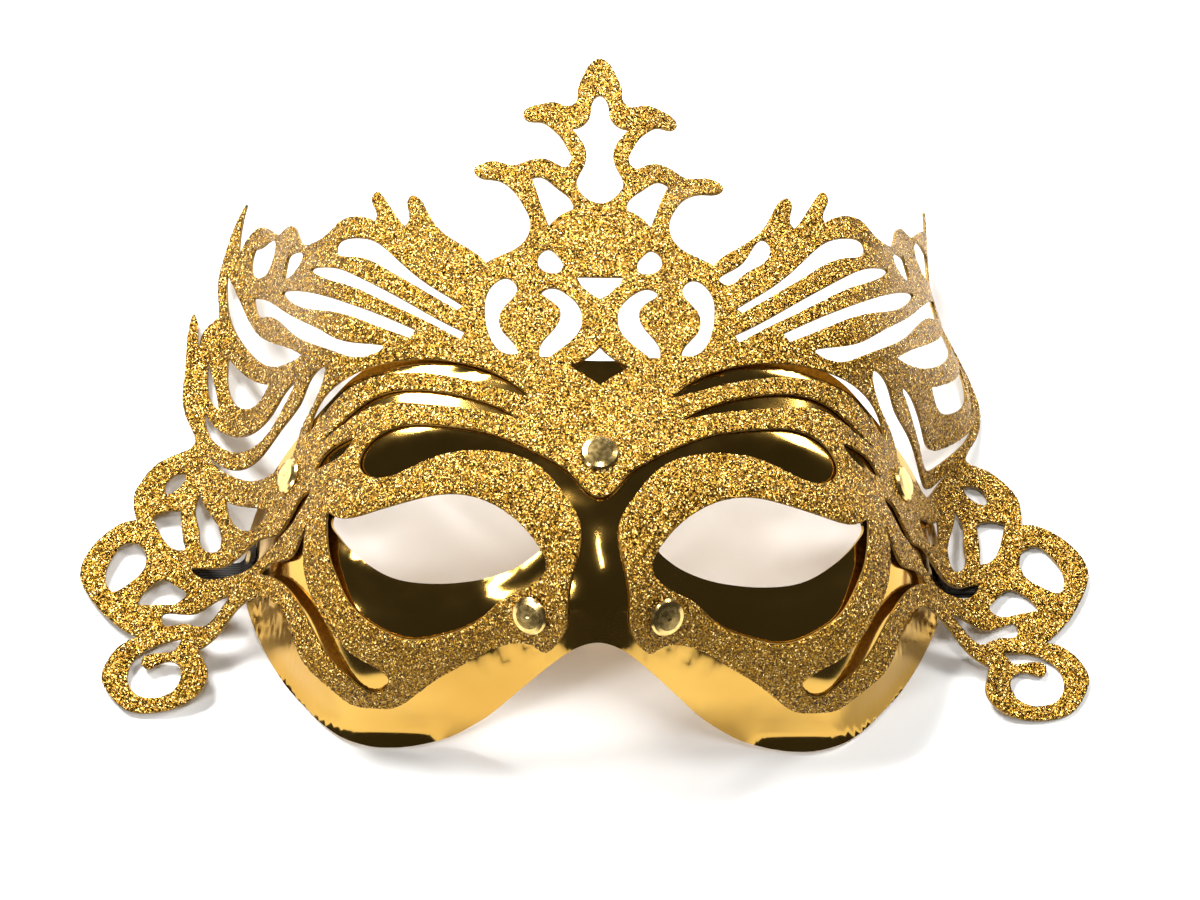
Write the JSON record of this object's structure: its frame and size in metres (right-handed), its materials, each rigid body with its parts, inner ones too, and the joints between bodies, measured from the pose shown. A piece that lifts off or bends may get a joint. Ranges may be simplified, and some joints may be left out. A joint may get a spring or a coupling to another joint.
{
  "type": "masquerade half mask",
  "caption": "Half mask for a masquerade: a mirror-gold moulded shell with an openwork glitter sheet rising into a crown and curled wings, riveted on.",
  "frame": {"origin": "on the table, under the middle of the bounding box", "axes": "+Z out of the face side, away from the wearer; +Y up the wearer's forehead, towards the crown; +X towards the wearer's left temple, which is on the right of the picture"},
  "size_m": [0.2634, 0.1724, 0.0599],
  "materials": {
    "shell_gold": "vacuum metallised, mirror bright",
    "gold_card": "satin gold card",
    "gold_glitter": "loose gold glitter in clear lacquer",
    "cap_gold": "polished",
    "black_elastic": "woven elastic, matt",
    "washer_steel": "satin"
  },
  "bodies": {
    "root": {"mask_shell": "shell_gold", "filigree_backing": "gold_card", "glitter_facing": "gold_glitter", "elastic_strap": "black_elastic", "strap_pin_left": "cap_gold", "strap_pin_right": "cap_gold", "rivet_cap_center": "cap_gold", "rivet_cap_temple_left": "cap_gold", "rivet_cap_temple_right": "cap_gold", "rivet_cap_nose_left": "cap_gold", "rivet_cap_nose_right": "cap_gold", "rivet_washer_center": "washer_steel", "rivet_washer_temple_left": "washer_steel", "rivet_washer_temple_right": "washer_steel", "rivet_washer_nose_left": "washer_steel", "rivet_washer_nose_right": "washer_steel"}
  },
  "joints": []
}
